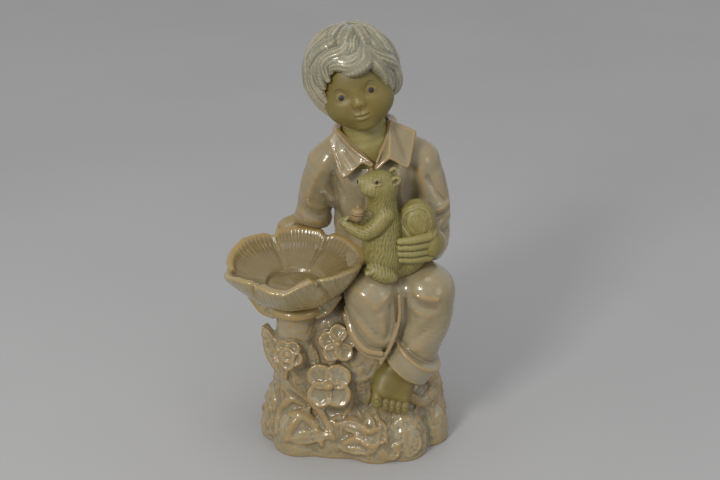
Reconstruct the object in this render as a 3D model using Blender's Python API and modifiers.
"""A glazed ceramic figurine, cast in one piece: a barefoot boy sits on a flowered mound, beside a bowl
shaped like an open flower, and holds a squirrel on his lap.

Metres, +Z up. The figure faces -Y and stands on the flat underside of its mound, with the origin on that
underside. The free forms are given in figure millimetres, which are real millimetres while the figurine
is 250 mm tall, and the sizes that stand by themselves are given in metres.
"""

import math

import bmesh
import bpy
from mathutils import Euler, Matrix, Vector

# Driving sizes, in metres
FIGURE_HEIGHT = 0.250
MOUND_WIDTH = 0.112
MOUND_DEPTH = 0.088
MOUND_HEIGHT = 0.028
BOWL_RADIUS = 0.0391
BOWL_HEIGHT = 0.0275
BOWL_DEPTH = 0.012
BOWL_WALL = 0.0036
BOWL_FLOOR_RADIUS = 0.0155
BOWL_FOOT_RADIUS = 0.0118
FLOWER_RELIEF = 0.0035
LEAF_THICKNESS = 0.0032
COLLAR_THICKNESS = 0.0034
CUFF_RELIEF = 0.0018

# How finely the fused body is made
VOXEL = FIGURE_HEIGHT / 225
SMOOTHING_ROUNDS = 1
MOST_TRIANGLES = 10300
BOWL_SEGMENTS = 90

# Places on the figure, in figure millimetres
DESIGN_HEIGHT = 250.0
UNIT = FIGURE_HEIGHT / DESIGN_HEIGHT
HEAD = Vector((0.5, -3, 219))
HEAD_TILT = math.radians(-16)
HAIR_CENTRE = Vector((-0.5, 2, 4))
HAIR_RADII = Vector((26, 26.5, 27.8))
CROWN = Vector((-0.15, 0.35, 1)).normalized()
BOWL_CENTRE = Vector((-33, -24, 94))

GLAZE_COLOUR = (0.50, 0.43, 0.29, 1)
GLAZE_ROUGHNESS = 0.22


def own(metres):
    """A size of its own, such as a wall, in figure millimetres."""
    return metres / UNIT


def smooth_path(points, steps):
    """A Catmull-Rom curve through points of any number of coordinates, such as x, y, z and radius."""
    points = [Vector(point) for point in points]
    ends = [points[0] * 2 - points[1], *points, points[-1] * 2 - points[-2]]
    path = []
    for p0, p1, p2, p3 in zip(ends, ends[1:], ends[2:], ends[3:]):
        for step in range(steps):
            t = step / steps
            bend = (2 * p0 - 5 * p1 + 4 * p2 - p3) * t * t + (3 * p1 - p0 - 3 * p2 + p3) * t**3
            path.append((2 * p1 + (p2 - p0) * t + bend) / 2)
    return [*path, points[-1]]


def ball_points():
    """The corners of an icosphere of radius 1."""
    sphere = bmesh.new()
    bmesh.ops.create_icosphere(sphere, subdivisions=2, radius=1)
    points = [corner.co.copy() for corner in sphere.verts]
    sphere.free()
    return points


BALL_POINTS = ball_points()


def circle_round(centre, axis, radius, count=16):
    """Points on a circle about an axis."""
    axis = Vector(axis).normalized()
    across = axis.orthogonal().normalized()
    up = axis.cross(across)
    angles = [math.tau * step / count for step in range(count)]
    return [Vector(centre) + (across * math.cos(a) + up * math.sin(a)) * radius for a in angles]


class Clay:
    """Closed shapes that overlap, in figure millimetres. They are fused into one body at the end."""

    def __init__(self, frame=None):
        self.mesh = bmesh.new()
        self.frame = frame or Matrix.Identity(4)

    def ball(self, centre, radii, turn=(0, 0, 0)):
        """An ellipsoid, turned by angles in degrees about X, Y and Z."""
        angles = Euler([math.radians(angle) for angle in turn])
        placed = self.frame @ Matrix.LocRotScale(Vector(centre), angles, Vector(radii))
        shape = bmesh.new()
        bmesh.ops.create_uvsphere(shape, u_segments=28, v_segments=16, radius=1, matrix=placed)
        self.take(shape)

    def pad(self, corners):
        """The convex hull of balls, each given as x, y, z and radius: a limb of two, a flap of three."""
        shape = bmesh.new()
        for x, y, z, radius in corners:
            for point in BALL_POINTS:
                shape.verts.new(self.frame @ Vector((x, y, z)) + point * radius)
        bmesh.ops.convex_hull(shape, input=shape.verts)
        loose = [corner for corner in shape.verts if not corner.link_faces]
        bmesh.ops.delete(shape, geom=loose, context="VERTS")
        self.take(shape)

    def trail(self, points, steps=4):
        """A rounded tube through balls given as x, y, z and radius."""
        path = smooth_path(points, steps)
        for start, end in zip(path, path[1:]):
            self.pad([start, end])

    def band(self, centre, axis, radius, height, edge):
        """A short cylinder about an axis, its edges rounded by a radius."""
        axis = Vector(axis).normalized() * (height / 2 - edge)
        ring = [*circle_round(Vector(centre) + axis, axis, radius - edge)]
        ring += circle_round(Vector(centre) - axis, axis, radius - edge)
        self.pad([(*point, edge) for point in ring])

    def take(self, shape):
        """Adds another closed mesh, which is used up."""
        bmesh.ops.recalc_face_normals(shape, faces=shape.faces)
        moved = bpy.data.meshes.new("moved")
        shape.to_mesh(moved)
        shape.free()
        self.mesh.from_mesh(moved)
        bpy.data.meshes.remove(moved)


def mound(clay):
    """The lobed ground and the tree stump on it, which the boy sits on. Everything goes below the floor,
    where the underside is cut flat."""
    half_width, half_depth = own(MOUND_WIDTH) / 2, own(MOUND_DEPTH) / 2
    height = own(MOUND_HEIGHT)
    clay.ball((0, 0, 4), (half_width * 0.86, half_depth * 0.84, height * 1.15))
    clay.ball((-0.1 * half_width, -0.32 * half_depth, 3), (half_width * 0.72, half_depth * 0.56, height))
    # Each lobe as shares of the half width and half depth, its reach as a share of the half width, and
    # its share of the height
    lobes = (
        (-0.76, -0.16, 0.26, 0.85), (-0.57, -0.47, 0.295, 0.95), (-0.18, -0.42, 0.295, 1.05),
        (0.23, -0.60, 0.32, 0.96), (0.50, -0.60, 0.277, 0.96), (0.76, -0.26, 0.26, 0.98),
        (0.78, 0.16, 0.232, 0.85), (0.62, 0.52, 0.277, 0.82), (0.22, 0.64, 0.304, 0.95),
        (-0.22, 0.64, 0.304, 0.95), (-0.62, 0.44, 0.286, 0.85),
    )  # fmt: skip
    for across, along, share, rise in lobes:
        place = (across * half_width, along * half_depth, 3)
        reach = share * half_width
        clay.ball(place, (reach, reach, height * rise))
    clay.ball((-42, -6, 12), (13, 16, 25))
    clay.ball((-8, 2, 46), (38.5, 34, 52))
    clay.ball((15, 2, 46), (33, 29, 50))
    clay.ball((28, -4, 28), (24, 24, 26))
    clay.ball((0, -9, 58), (18, 26, 24))
    # The stump is fuller in front, behind the flowers
    clay.ball((-13, -15, 47), (26, 18, 25))
    clay.ball((-11, -13, 72), (21, 17.5, 19))
    clay.ball((-18, -13, 82), (17, 14, 15))
    clay.ball((10, -18, 58), (16, 16, 22))
    clay.ball((3, 4, 80), (37, 30, 15))
    # Roots run down the stump behind and on the right, into the ground's lobes
    for number, bearing in enumerate((-14, 16, 44, 70, 98, 124, 150, 178)):
        across, along = math.cos(math.radians(bearing)), math.sin(math.radians(bearing))
        lean = 2.5 if number % 2 else -2.5
        root = []
        for up, grow, radius in ((88, 0.66, 3.5), (66, 0.91, 4.4), (42, 0.97, 4.8), (20, 1.06, 5.5)):
            root.append((2 + lean * up / 40 + 44 * grow * across, 2 + 33 * grow * along, up, radius))
        clay.trail(root)
    clay.trail([(-31, -8, 14, 17), (-31, -12, 45, 16), (-32, -18, 66, 14), (-33, -23.5, 90, 11.5)])
    # The scrolled rock beside the foot
    clay.trail([(34, -25, 46, 4), (43, -18, 46, 5), (46, -15, 37, 5.5), (39, -22, 30, 5), (33, -27, 36, 3)])


def bowl_shape():
    """The bowl as a turned shape, whose wall and rim are then drawn into six petals."""
    radius, height = own(BOWL_RADIUS), own(BOWL_HEIGHT)
    wall, depth = own(BOWL_WALL), own(BOWL_DEPTH)
    floor, foot = own(BOWL_FLOOR_RADIUS), own(BOWL_FOOT_RADIUS)
    inner_floor = height - depth
    profile = [
        (0, -8), (foot * 0.8, -8), (foot, 0), (foot + 1, 3), (foot + 4.2, 6.5),
        (foot + (radius - foot) * 0.46, height * 0.33), (foot + (radius - foot) * 0.72, height * 0.56),
        (foot + (radius - foot) * 0.88, height * 0.76), (radius - 0.6, height - 2.2),
        (radius, height - 0.4), (radius - wall * 0.5, height + 0.6),
        (radius - wall * 1.05, height - wall * 0.55), (radius - wall * 1.5, height - wall),
        (floor + (radius - floor) * 0.5, inner_floor + depth * 0.40),
        (floor + 1.5, inner_floor + 1.4), (floor, inner_floor - 1), (floor - 1.2, inner_floor - 2),
        (0, inner_floor - 2),
    ]  # fmt: skip
    shape = bmesh.new()
    corners = [shape.verts.new((across, 0, up)) for across, up in profile]
    edges = [shape.edges.new(pair) for pair in zip(corners, corners[1:])]
    bmesh.ops.spin(
        shape, geom=corners + edges, cent=(0, 0, 0), axis=(0, 0, 1), angle=math.tau,
        steps=BOWL_SEGMENTS, use_merge=True,
    )  # fmt: skip
    bmesh.ops.remove_doubles(shape, verts=shape.verts, dist=1e-4)
    draw_petals(shape, floor, radius, height)
    bmesh.ops.translate(shape, verts=shape.verts, vec=BOWL_CENTRE)
    return shape


# The rim all round: bearing in degrees from +X, share of the bowl's radius, and lift. The six petals meet
# where it dips in.
RIM_LINE = (
    (3, 0.97, -1.6), (17, 1.05, -2.6), (28, 1.075, -1.6), (45, 1.06, 1.4), (57, 1.03, 2.2),
    (63, 0.965, 0.0), (69, 1.0, 3.6), (90, 1.0, 4.6), (107, 0.99, 3.4), (113, 0.94, -0.2),
    (119, 1.0, 1.8), (138, 1.06, 1.2), (155, 1.06, -3.6), (166, 1.0, -6.2), (170, 0.96, -8.2),
    (176, 1.0, -8.2), (196, 0.98, -5.4), (214, 0.94, -2.2), (232, 0.94, -1.0), (238, 0.88, -3.4),
    (244, 0.94, -0.8), (254, 1.0, -1.6), (265, 0.99, -2.2), (275, 0.98, 1.6), (286, 0.96, 4.4),
    (292, 0.90, 1.6), (298, 0.94, 2.6), (322, 0.93, 2.0), (345, 0.96, 0.6), (353, 0.95, -0.2),
    (358, 0.905, -3.4),
)  # fmt: skip


def rim_at(bearing):
    """(share of the radius, lift) of the rim at a bearing in degrees."""
    first, last = RIM_LINE[0], RIM_LINE[-1]
    line = [(last[0] - 360, *last[1:]), *RIM_LINE, (first[0] + 360, *first[1:])]
    for (low, share, lift), (high, next_share, next_lift) in zip(line, line[1:]):
        if low <= bearing <= high:
            part = (bearing - low) / (high - low)
            return share + (next_share - share) * part, lift + (next_lift - lift) * part
    return 1, 0


def draw_petals(shape, floor, radius, height):
    """Lifts, dips and notches the rim, less and less towards the bowl's middle."""
    for corner in shape.verts:
        reach = math.hypot(corner.co.x, corner.co.y)
        across = min(1, max(0, (reach - floor * 0.9) / (radius - floor * 0.9)))
        up = min(1, max(0, (corner.co.z / height - 0.15) / 0.75))
        bearing = math.degrees(math.atan2(corner.co.y, corner.co.x)) % 360
        share, lift = rim_at(bearing)
        corner.co.x *= 1 + (share - 1) * across**0.6 * up
        corner.co.y *= 1 + (share - 1) * across**0.6 * up
        corner.co.z += lift * across * up


def calyx(clay):
    """The ring and the leaves that hold the bowl from below."""
    foot = own(BOWL_FOOT_RADIUS)
    thick = own(LEAF_THICKNESS) / 2
    ring = circle_round(BOWL_CENTRE + Vector((0, 0, 1)), (0, 0, 1), foot + 1.2)
    for start, end in zip(ring, [*ring[1:], ring[0]]):
        clay.pad([(*start, 2.3), (*end, 2.3)])
    reach, height = own(BOWL_RADIUS), own(BOWL_HEIGHT)
    for bearing in (50, 122):
        out = Vector((math.cos(math.radians(bearing)), math.sin(math.radians(bearing)), 0))
        side = Vector((-out.y, out.x, 0))
        low = BOWL_CENTRE + out * foot + Vector((0, 0, 3))
        middle = BOWL_CENTRE + out * (reach * 0.60) + Vector((0, 0, height * 0.26))
        tip = BOWL_CENTRE + out * (reach * 0.76) + Vector((0, 0, height * 0.48))
        edges = [(*(middle + side * 7.5), thick), (*(middle - side * 7.5), thick)]
        clay.pad([(*low, thick), *edges])
        clay.pad([(*tip, thick * 0.8), *edges])
    # The two leaves seen from the front hang lower, filled in behind up to the bowl
    for side, turn in ((-1, 0), (1, 0.3)):
        root = BOWL_CENTRE + Vector((side * (foot + 0.6), -7, -2.2 - turn))
        bend = BOWL_CENTRE + Vector((side * reach * 0.485, -6.5, height * 0.04))
        tip = BOWL_CENTRE + Vector((side * reach * 0.645, -6, height * 0.30))
        behind = BOWL_CENTRE + Vector((side * reach * 0.36, -2, height * 0.21))
        clay.pad([(*root, thick * 1.5), (*bend, thick * 1.3), (*behind, thick * 3.4)])
        clay.pad([(*bend, thick * 1.3), (*tip, thick), (*behind, thick * 3.4)])


def flower(clay, centre, reach, petals, facing, turn=0.0):
    """An open flower in relief, facing along a direction: dished petals round a button."""
    centre, facing = Vector(centre), Vector(facing).normalized()
    relief = own(FLOWER_RELIEF)
    rings = circle_round((0, 0, 0), facing, reach * 0.56, petals)
    spin = Matrix.Rotation(turn, 3, facing)
    for place in rings:
        middle = centre + spin @ place
        edge = circle_round(middle, facing, reach * 0.40, 10)
        clay.pad([(*(point - facing * relief), 1.2) for point in edge] + [(*middle, 1.2)])
        for start, end in zip(edge, [*edge[1:], edge[0]]):
            if min((start - centre).length, (end - centre).length) > reach * 0.42:
                clay.pad([(*start, 1.5), (*end, 1.5)])
    clay.ball(centre + facing, (reach * 0.24, reach * 0.24, reach * 0.24))


def leaf(clay, root, tip, width, facing):
    """A pointed leaf in relief: two flaps that meet at a raised midrib."""
    root, tip, facing = Vector(root), Vector(tip), Vector(facing).normalized()
    thick = own(LEAF_THICKNESS) / 2
    side = (tip - root).normalized().cross(facing) * width / 2
    middle = root.lerp(tip, 0.45)
    rib = middle + facing * thick * 1.4
    for edge in (middle + side - facing * thick, middle - side - facing * thick):
        clay.pad([(*root, thick * 0.8), (*rib, thick), (*edge, thick * 0.8)])
        clay.pad([(*tip, thick * 0.5), (*rib, thick), (*edge, thick * 0.8)])


def mound_plants(clay):
    """The flowers and leaves that cover the front and the left of the stump, and a few behind."""
    flower(clay, (-14.2, -36.5, 49.5), 13.8, 4, (-0.1, -1, 0.3), 0.75)
    flower(clay, (-9, -33.5, 75), 10.5, 5, (0, -1, 0.4), 0.3)
    flower(clay, (-37, -33.5, 67.6), 9.2, 5, (-0.35, -1, 0.3), 0.9)
    clay.pad([(-51.5, -19, 75.5, 1.6), (-43, -23, 76.5, 1.8), (-39, -26, 50, 2.2), (-49, -21, 62, 1.8)])
    leaf(clay, (-14, -27, 79), (-2, -25, 92), 9, (-0.1, -1, 0.1))
    leaf(clay, (-1, -34, 60), (6.5, -33, 76), 8, (0.1, -1, 0.2))
    leaf(clay, (5, -37, 52), (13, -35, 69), 7, (0.2, -1, 0.2))
    leaf(clay, (7, -38, 36), (4, -35, 58), 8, (0.1, -1, 0.3))
    leaf(clay, (-26, -33, 38), (-36, -31, 60), 9, (-0.3, -1, 0.2))
    flower(clay, (-22, 34, 52), 12, 5, (-0.3, 1, 0.3), 0.2)
    flower(clay, (12, 32, 46), 11, 5, (0.2, 1, 0.3), 0.9)


def ground_leaves(clay):
    """The leaves on the mound, placed by shares of its half width and half depth, and by height."""
    half_width, half_depth = own(MOUND_WIDTH) / 2, own(MOUND_DEPTH) / 2
    leaves = (
        ((-0.30, -0.80, 16), (-0.56, -0.71, 39), 12, (0.1, -1, 0.4)),
        ((-0.76, -0.58, 14), (-0.56, -0.69, 39), 11, (-0.5, -1, 0.3)),
        ((-0.68, -0.79, 10), (-0.23, -0.80, 14), 8, (-0.2, -1, 0.5)),
        ((-0.14, -0.79, 22), (0.19, -0.92, 19.5), 8, (0, -1, 0.6)),
        ((-0.16, -0.84, 8), (0.23, -0.99, 9), 8, (0, -1, 0.4)),
        ((0.55, -0.89, 1), (0.68, -0.76, 15), 9, (0.5, -1, 0.3)),
        ((0.18, -0.98, 12), (0.50, -0.97, 20), 8, (0.2, -1, 0.5)),
        ((-0.87, -0.35, 8), (-0.84, -0.22, 34), 11, (-1, -0.6, 0.3)),
        ((0.54, 0.64, 20), (0.43, 0.66, 50), 14, (0.5, 1, 0.3)),
        ((-0.11, 0.84, 20), (-0.07, 0.77, 44), 13, (0, 1, 0.4)),
        ((-0.71, 0.45, 14), (-0.75, 0.27, 44), 14, (-1, 0.5, 0.2)),
        ((0.79, 0.22, 12), (0.79, 0.09, 38), 12, (1, 0.2, 0.3)),
    )
    for root, tip, width, facing in leaves:
        ends = [(x * half_width, y * half_depth, z) for x, y, z in (root, tip)]
        leaf(clay, *ends, width, facing)


def legs(clay):
    """The trousers: both thighs come forward, the left shin sinks into the flowers, and the right shin
    ends in a turned-up cuff."""
    clay.ball((12, 8, 104), (28, 22, 21))
    clay.trail([(3, 4, 104, 16), (7.5, -15, 103.5, 15.2), (9.5, -28.5, 102.5, 15.2)])
    clay.trail([(9.5, -28.5, 102.5, 15.5), (11.3, -30, 91, 15), (12.3, -31, 83, 13.8)])
    clay.trail([(24, 2, 102, 16.5), (34, -12, 103, 16.5), (41, -21, 101.5, 16.5)])
    clay.trail([(41, -21, 101, 16.5), (40.5, -23, 87, 15.5), (37, -26, 76, 13.8), (34.5, -27, 66, 12.5)])
    clay.trail([(25, -20, 102, 13), (25, -22, 90, 12), (24, -24, 78, 9)])
    relief = own(CUFF_RELIEF)
    clay.band((33.0, -29.5, 64.2), (0.60, -0.12, 0.79), 14.8 + relief, 13.5, 1.6)
    # The hem of the left leg, and the folds of the right one
    clay.trail([(-3.2, -33, 93, 2.2), (1, -41, 82, 2.4), (8, -44, 75, 2.4), (16, -43, 73, 2.2)])
    clay.trail([(-4.5, -30, 88, 1.8), (2, -38, 76, 2.2), (9, -41, 70.5, 2.2), (16, -40, 69.5, 2)])
    clay.trail([(24, -39, 106, 1.6), (24.5, -40, 92, 1.8), (20, -42, 78, 1.8), (15, -41, 68, 1.6)])
    clay.trail([(26, -33, 112, 2.2), (33, -37, 107, 2.4), (43, -37, 103, 2.0)])
    clay.trail([(52, -28, 84, 1.8), (44, -37, 80, 2.0), (34, -40, 83, 1.6)])


def foot(clay):
    """The bare right foot, which hangs down against the mound, with its five toes."""
    clay.trail([(30, -26, 66, 9), (26, -30, 57, 9), (22.5, -34, 50.5, 9)])
    clay.pad([(17.5, -36.5, 50, 7.5), (26.5, -36, 49.5, 7), (16, -39, 43.5, 5.8), (27, -40, 41, 5.2)])
    toes = ((13.8, 41.3, 4.4), (18.6, 38.6, 3.3), (22.4, 37.2, 3.1), (25.8, 36.2, 3.0), (28.9, 35.6, 2.8))
    for across, up, radius in toes:
        clay.pad([(across + 0.8, -39, up + 4.5, radius), (across, -43.5, up, radius)])


def torso(clay):
    """The shirt, open at the neck, with its sleeves and collar."""
    clay.ball((14.5, 7.5, 152), (25.5, 18, 30))
    clay.ball((12, 3, 164), (24, 16, 17))
    clay.ball((16, 9, 122), (20, 16.5, 24))
    clay.ball((4, 15, 124), (14.5, 9.5, 22))
    hem = [(-10.5, 0, 113), (-8, 17, 110), (5, 26, 108), (21, 26, 107.5), (34, 16, 109), (36.5, 0, 113)]
    clay.trail([(*place, 2.6) for place in hem])
    clay.trail([(-15.5, 7.5, 168.8, 10.8), (-8, 7, 175.5, 10.8), (6, 6, 181, 11.5)])
    clay.trail([(6, 6, 181, 11.5), (17, 6, 181.5, 11), (27, 7, 176.5, 11.3), (36, 7, 170, 12)])
    # Right sleeve, its forearm and elbow fold, then left sleeve with its roll
    clay.trail([(36, 7, 170, 12), (40.4, 6, 158, 12), (43.2, 4, 143, 12), (43.2, 2, 127.5, 11.2)])
    clay.trail([(43.2, 2, 127.5, 11.2), (43, -8, 125.5, 9.8), (43.8, -15.5, 129, 8.6)])
    clay.trail([(37, -8, 146.5, 2), (44, -9, 145, 2.4), (50.5, -4, 146.5, 2)])
    clay.trail([(-15.5, 7.5, 168.8, 10.8), (-19.8, 10.5, 157, 10.6), (-22.3, 15, 143, 10.8)])
    clay.band((-23.9, 18, 131.6), (0.24, 0.22, 0.95), 11.5, 11.5, 2.6)
    # Folds from the right arm to the waist, and where the shirt closes
    clay.trail([(8, -11, 172, 3.4), (7, -11.5, 158, 3.4), (6, -9, 140, 3.4)])
    clay.trail([(31, -7, 168, 4), (33, -7, 158, 5), (30, -8, 146, 4)])
    collar(clay)


def collar(clay):
    """Two pointed flaps round the open neck, and the band behind it."""
    thick = own(COLLAR_THICKNESS) / 2
    clay.pad([(-9, -3, 191, thick), (-13, -4, 186.5, thick), (-5.3, -14.5, 169.5, thick)])
    clay.pad([(-9, -3, 191, thick), (-5.3, -14.5, 169.5, thick), (1, -16.5, 174.5, thick)])
    clay.pad([(-9, -3, 191, thick), (1, -16.5, 174.5, thick), (9.5, -16, 174.5, thick)])
    clay.pad([(20, -1, 195, thick), (33, -3, 190, thick), (29.6, -13.5, 174.3, thick)])
    clay.pad([(20, -1, 195, thick), (29.6, -13.5, 174.3, thick), (21, -15.5, 177, thick)])
    clay.pad([(20, -1, 195, thick), (21, -15.5, 177, thick), (12, -16, 174.5, thick)])
    band = [(-9.5, -2, 188.5, 2.8), (-8, 9, 189.5, 3), (2, 16, 191.5, 3), (13, 16, 193, 3), (21, 8, 193, 3)]
    clay.trail([*band, (21, -1, 192.5, 2.8)])
    clay.ball((7, 6.5, 182), (14.5, 11, 9))


def hands(clay):
    """The right hand lies on the back of the bowl's rim, and the left one holds the squirrel's tail."""
    clay.trail([(-25.5, 20, 132, 7.2), (-31, 24.5, 125.5, 6.4), (-38, 25.5, 122, 5.6)])
    clay.ball((-39.4, 25, 120.5), (6.8, 5.6, 5.2), (0, 10, -10))
    for finger in range(4):
        across = -45.5 + finger * 3.3
        clay.pad([(across + 1.5, 23, 119.5, 2.4), (across, 14 + finger * 0.3, 110.5, 2.2)])
    clay.pad([(44.5, -14, 128.5, 8), (41.2, -23, 131.5, 7.8)])
    for finger in range(4):
        up = 138.3 - finger * 4
        clay.trail([(40, -28, up - 0.6, 2.9), (32.5, -32.5, up + 0.2, 2.8), (25.3, -33.5, up + 0.2, 2.3)])


def squirrel(clay):
    """It sits up in profile on the boy's lap, with a nut in its paws and its tail curled behind it."""
    clay.trail([(18, -25, 121, 11.5), (16.2, -26, 131, 12), (15.6, -26, 142, 10.8), (15.3, -26, 153, 8.8)])
    clay.pad([(15.3, -26, 153, 8.4), (15.3, -27, 162, 7.4)])
    clay.ball((14.6, -28, 168.3), (9.6, 8.2, 8.8))
    clay.pad([(10.5, -29, 168, 6.8), (5.2, -30, 170.2, 2.9)])
    clay.ball((22.3, -31, 172), (2.6, 2, 4.2), (0, 55, 0))
    clay.ball((20.5, -25, 175.5), (2.4, 2, 4), (0, 30, 0))
    near_arm = [(16, -33, 152, 4.6), (10.5, -35.5, 146, 4.6), (3.5, -36, 143.8, 4.0), (-2.5, -35, 149, 3.1)]
    clay.trail(near_arm)
    clay.trail([(8, -30, 152, 3.2), (0, -33, 146.5, 3.2), (-6, -33, 149.5, 2.8)])
    clay.ball((1.8, -35.5, 154), (4.2, 4, 4.8))
    clay.ball((15.5, -35, 120), (9.5, 6, 5.8), (0, 25, 0))
    clay.ball((17, -32, 127), (8.5, 6, 8), (0, 20, 0))
    clay.trail([(22, -24, 118.5, 7), (30, -23, 122, 8), (36, -21, 131, 9.5)])
    clay.ball((35.4, -21, 142), (11.6, 9, 16.2))
    clay.trail([(26, -28, 141, 2), (27.5, -29.5, 150, 2.2), (34, -29, 154, 2.2), (41, -27.5, 149, 2)])
    clay.trail([(31, -30.5, 142, 1.8), (33, -31, 147.5, 2), (37.5, -30, 147, 1.8)])


def head(clay):
    """The head, tilted to one side, with a plain child's face under a thick head of hair."""
    face = Clay(Matrix.Translation(HEAD) @ Matrix.Rotation(HEAD_TILT, 4, "Y"))
    face.ball((0.5, -3.5, 1), (18.6, 16.8, 20.5))
    face.ball((0.5, -11, -16), (12, 10, 10.6))
    for side in (-1, 1):
        face.ball((0.5 + side * 8.5, -11.2, -9), (9.8, 9.2, 9.6))
    face.ball((0.5, -21.6, -7), (2.8, 3.0, 2.6))
    face.pad([(0.5, -19.8, -0.5, 1.6), (0.5, -21.8, -6, 2.1)])
    face.pad([(-2.6, -20.4, -12.6, 1.5), (3.6, -20.4, -12.6, 1.5)])
    face.pad([(-1.6, -20.0, -15.0, 1.6), (2.6, -20.0, -15.0, 1.6)])
    face.pad([(0.5, 3, -12, 10.5), (3, 8, -34, 11)])
    hair(face)
    clay.take(face.mesh)


# Locks seen from the front, each as places on the hair: degrees round from the face and up from level
FRONT_LOCKS = (
    ((-146, 84), (-105, 57), (-92, 32), (-85, 9), (-79, -14), (-72, -33), (-62, -48)),
    ((-40, 66), (-50, 50), (-66, 31), (-69, 6), (-63, -15), (-57, -28)),
    ((0, 58), (-27, 46), (-46, 32), (-49, 14), (-43, 0)),
    ((57, 79), (-15, 73), (-25, 60)),
    ((47, 53), (31, 37), (14, 29), (-5, 27), (-19, 29), (-28, 30)),
    ((40, 44), (32, 25), (17, 18), (3, 15)),
    ((19, 62), (9, 47), (-12, 40), (-29, 36), (-38, 22)),
    ((54, 50), (42, 32), (46, 18), (62, 8), (78, -4)),
    ((35, 35), (38, 16), (47, 1), (54, -14)),
    ((57, 12), (58, -4), (66, -20), (74, -36), (73, -49)),
    ((112, 54), (102, 34), (96, 13), (90, -8), (84, -28), (77, -43)),
    ((135, 71), (96, 56), (72, 38), (70, 20), (84, 2)),
)


def hair(face):
    """A cap of hair with thick locks that sweep down from the crown, and others that hang behind."""
    face.ball(HAIR_CENTRE + Vector((0, 3, 1.5)), HAIR_RADII - Vector((4.6, 7.4, 5)))
    for places in FRONT_LOCKS:
        lock(face, [on_head(*place) for place in places])
    for number in range(14):
        around = 100 + number * 13
        swing = 12 if number % 2 else -9
        low = on_head(around + swing, -46 if 120 < around < 240 else -40)
        lock(face, [CROWN, on_head(around, 48), on_head(around + swing, 8), low])


def on_head(around, up):
    """The direction of a place on the head, in degrees round from the face and up from level."""
    around, up = math.radians(around), math.radians(up)
    return Vector((math.sin(around) * math.cos(up), -math.cos(around) * math.cos(up), math.sin(up)))


def lock(face, ways):
    """One lock of hair through these directions, thickest in the middle and pointed at its end."""
    path = []
    steps = 3 * (len(ways) - 1)
    for number, way in enumerate(smooth_path(ways, 3)):
        way.normalize()
        thick = 1.4 + 2.2 * math.sin(math.pi * min(0.92, (number + 1) / (steps + 1)))
        reach = [HAIR_RADII[axis] - 2.8 for axis in range(3)]
        path.append((*(HAIR_CENTRE[axis] + way[axis] * reach[axis] for axis in range(3)), thick))
    for start, end in zip(path, path[1:]):
        face.pad([start, end])


def fused(clay, name):
    """Fuses the shapes into one closed body, evens it out and thins its faces."""
    clay.mesh.transform(Matrix.Scale(UNIT, 4))
    raw = bpy.data.meshes.new(name)
    clay.mesh.to_mesh(raw)
    clay.mesh.free()
    body = bpy.data.objects.new(name, raw)
    bpy.context.scene.collection.objects.link(body)
    remesh = body.modifiers.new("Fuse", "REMESH")
    remesh.mode = "VOXEL"
    remesh.voxel_size = VOXEL
    smooth = body.modifiers.new("Even", "SMOOTH")
    smooth.factor = 0.5
    smooth.iterations = SMOOTHING_ROUNDS
    keep_evaluated(body)
    thin = body.modifiers.new("Thin", "DECIMATE")
    thin.ratio = MOST_TRIANGLES / (2 * len(body.data.polygons))
    keep_evaluated(body)
    return body


def keep_evaluated(body):
    """Replaces an object's mesh by what its modifiers make of it."""
    graph = bpy.context.evaluated_depsgraph_get()
    made = bpy.data.meshes.new_from_object(body.evaluated_get(graph))
    body.modifiers.clear()
    body.data = made


def cut_underside(body):
    """Cuts the body flat at the floor, so that it stands on one face."""
    shape = bmesh.new()
    shape.from_mesh(body.data)
    whole = shape.verts[:] + shape.edges[:] + shape.faces[:]
    cut = bmesh.ops.bisect_plane(
        shape, geom=whole, dist=1e-6, plane_co=(0, 0, 0), plane_no=(0, 0, 1), clear_inner=True
    )
    rim = [piece for piece in cut["geom_cut"] if isinstance(piece, bmesh.types.BMEdge)]
    bmesh.ops.contextual_create(shape, geom=rim)
    bmesh.ops.recalc_face_normals(shape, faces=shape.faces)
    bmesh.ops.triangulate(shape, faces=shape.faces)
    shape.to_mesh(body.data)
    shape.free()


def glaze():
    """The cream glaze that covers most of the figurine."""
    material = bpy.data.materials.new("cream_glaze")
    material.use_nodes = True
    shader = material.node_tree.nodes["Principled BSDF"]
    shader.inputs["Base Color"].default_value = GLAZE_COLOUR
    shader.inputs["Roughness"].default_value = GLAZE_ROUGHNESS
    shader.inputs["Metallic"].default_value = 0
    return material


def clear_scene():
    for thing in list(bpy.data.objects):
        bpy.data.objects.remove(thing)


def main():
    clear_scene()
    clay = Clay()
    mound(clay)
    clay.take(bowl_shape())
    calyx(clay)
    mound_plants(clay)
    ground_leaves(clay)
    legs(clay)
    foot(clay)
    torso(clay)
    hands(clay)
    squirrel(clay)
    head(clay)
    body = fused(clay, "boy_with_squirrel")
    cut_underside(body)
    body.data.materials.clear()
    body.data.materials.append(glaze())
    for face in body.data.polygons:
        face.use_smooth = True
    collection = bpy.data.collections.new("Boy with squirrel")
    bpy.context.scene.collection.children.link(collection)
    bpy.context.scene.collection.objects.unlink(body)
    collection.objects.link(body)


main()
